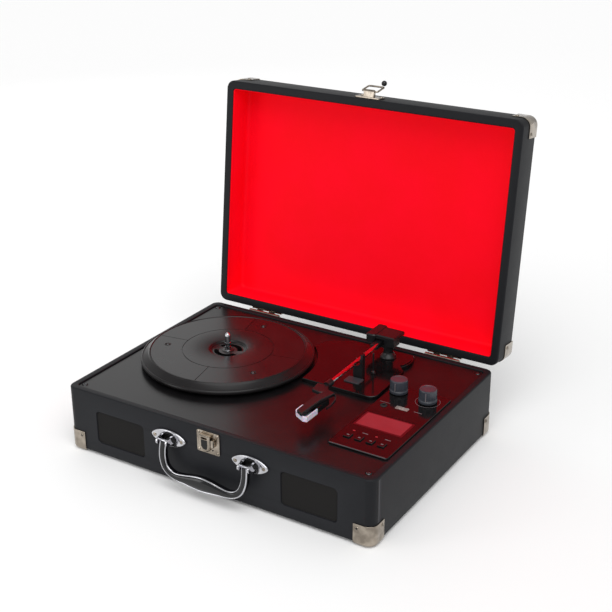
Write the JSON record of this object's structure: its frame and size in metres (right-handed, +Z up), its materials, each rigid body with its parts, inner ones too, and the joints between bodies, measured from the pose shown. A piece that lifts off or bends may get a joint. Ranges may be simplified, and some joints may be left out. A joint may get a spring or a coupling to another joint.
{
  "type": "suitcase record player",
  "caption": "Portable suitcase record player, lid open: platter and tonearm on a black deck, knobs and display at the right, red-lined hinged lid, front grilles and handle.",
  "frame": {"origin": "centre of the footprint of the open player, on the plane of the feet", "axes": "+X to the right along the case width, +Y towards the hinged lid, +Z up, handle at -Y"},
  "size_m": [0.3588, 0.3482, 0.3423],
  "materials": {
    "vinyl": "charcoal leatherette over board, fine grain",
    "board": "black painted hardboard",
    "lining": "red lining, smooth",
    "deck_black": "satin black moulded",
    "gloss_black": "gloss black moulded",
    "nickel": "nickel plate",
    "chrome": "chrome plate",
    "steel": "plain bright steel",
    "cloth": "black speaker cloth",
    "rubber": "black rubber",
    "paper": "black paper cone",
    "knob_grey": "dark grey satin",
    "window": "tinted display window",
    "guard": "pale translucent",
    "circuit": "green circuit board"
  },
  "bodies": {
    "case": {"case_shell": "vinyl", "bottom_board": "board", "deck_plate": "deck_black", "grille_left": "cloth", "grille_right": "cloth", "speaker_driver_left": "paper", "speaker_driver_right": "paper", "base_guard_front_left": "nickel", "base_guard_front_right": "nickel", "base_guard_rear_left": "nickel", "base_guard_rear_right": "nickel", "handle_plate_left": "chrome", "handle_plate_right": "chrome", "latch_plate": "nickel", "latch_catch": "nickel", "hinge_base_leaf_left": "nickel", "hinge_base_leaf_right": "nickel", "motor": "steel", "drive_belt": "rubber", "spindle": "chrome", "spindle_bush": "steel", "arm_plate": "gloss_black", "arm_pivot_cone": "deck_black", "arm_rest": "deck_black", "cue_rod": "gloss_black", "control_panel": "gloss_black", "display_window": "window", "audio_jack": "rubber", "usb_socket": "steel", "circuit_board": "circuit", "rear_jack_plate": "deck_black"},
    "hasp": {"hasp_loop": "nickel", "hasp_knob": "gloss_black"},
    "platter": {"platter": "deck_black"},
    "pulley": {"motor_pulley": "deck_black"},
    "handle": {"handle_bow": "gloss_black"},
    "latch_button": {"latch_slider": "nickel"},
    "arm_yoke": {"arm_turret": "deck_black"},
    "arm": {"arm_carrier": "deck_black", "arm_counterweight": "gloss_black", "arm_tube": "chrome", "headshell": "deck_black", "cartridge": "gloss_black", "stylus_guard": "guard"},
    "lid": {"lid_shell": "vinyl", "lid_lining": "lining", "lid_guard_lower_left": "nickel", "lid_guard_lower_right": "nickel", "lid_guard_upper_left": "nickel", "lid_guard_upper_right": "nickel", "hinge_lid_leaf_left": "nickel", "hinge_lid_leaf_right": "nickel", "hasp_bracket": "nickel"},
    "button_1": {"button_1": "deck_black"},
    "button_2": {"button_2": "deck_black"},
    "button_3": {"button_3": "deck_black"},
    "button_4": {"button_4": "deck_black"},
    "knob_1": {"knob_1": "knob_grey"},
    "knob_2": {"knob_2": "knob_grey"}
  },
  "joints": [
    {"name": "lid_hinge", "type": "hinge", "parent": "case", "child": "lid", "pos_m": [0, 0.10488, 0.0673], "axis": [1, 0, 0], "range_deg": [0, 96.34]},
    {"name": "hasp_swing", "type": "hinge", "parent": "lid", "child": "hasp", "pos_m": [0, 0.14617, 0.33302], "axis": [1, 0, 0], "range_deg": [0, 140]},
    {"name": "platter_spin", "type": "hinge", "parent": "case", "child": "platter", "pos_m": [-0.0755, -0.01767, 0.075], "axis": [0, 0, 1], "continuous": true},
    {"name": "pulley_spin", "type": "hinge", "parent": "case", "child": "pulley", "pos_m": [-0.037, -0.08517, 0.072], "axis": [0, 0, 1], "continuous": true},
    {"name": "arm_swing", "type": "hinge", "parent": "case", "child": "arm_yoke", "pos_m": [0.0711, 0.06733, 0.08], "axis": [0, 0, 1], "range_deg": [-42, 0]},
    {"name": "arm_lift", "type": "hinge", "parent": "arm_yoke", "child": "arm", "pos_m": [0.0637, 0.06733, 0.091], "axis": [1, 0, 0], "range_deg": [-12, 0]},
    {"name": "handle_swing", "type": "hinge", "parent": "case", "child": "handle", "pos_m": [0, -0.16477, 0.0495], "axis": [1, 0, 0], "range_deg": [-150, 0]},
    {"name": "latch_slide", "type": "slide", "parent": "case", "child": "latch_button", "axis": [1, 0, 0], "range_m": [0, 0.0025], "stiffness_N_per_m": 120},
    {"name": "button_1_press", "type": "slide", "parent": "case", "child": "button_1", "axis": [0, 0, -1], "range_m": [0, 0.0008], "stiffness_N_per_m": 400},
    {"name": "button_2_press", "type": "slide", "parent": "case", "child": "button_2", "axis": [0, 0, -1], "range_m": [0, 0.0008], "stiffness_N_per_m": 400},
    {"name": "button_3_press", "type": "slide", "parent": "case", "child": "button_3", "axis": [0, 0, -1], "range_m": [0, 0.0008], "stiffness_N_per_m": 400},
    {"name": "button_4_press", "type": "slide", "parent": "case", "child": "button_4", "axis": [0, 0, -1], "range_m": [0, 0.0008], "stiffness_N_per_m": 400},
    {"name": "knob_1_turn", "type": "hinge", "parent": "case", "child": "knob_1", "pos_m": [0.1161, 0.00603, 0.0709], "axis": [0, 0, 1], "range_deg": [-150, 150]},
    {"name": "knob_2_turn", "type": "hinge", "parent": "case", "child": "knob_2", "pos_m": [0.1503, 0.00203, 0.0709], "axis": [0, 0, 1], "range_deg": [-150, 150]}
  ],
  "couplings": [
    {"joint": "pulley_spin", "follows": "platter_spin", "ratio": 12.5}
  ]
}
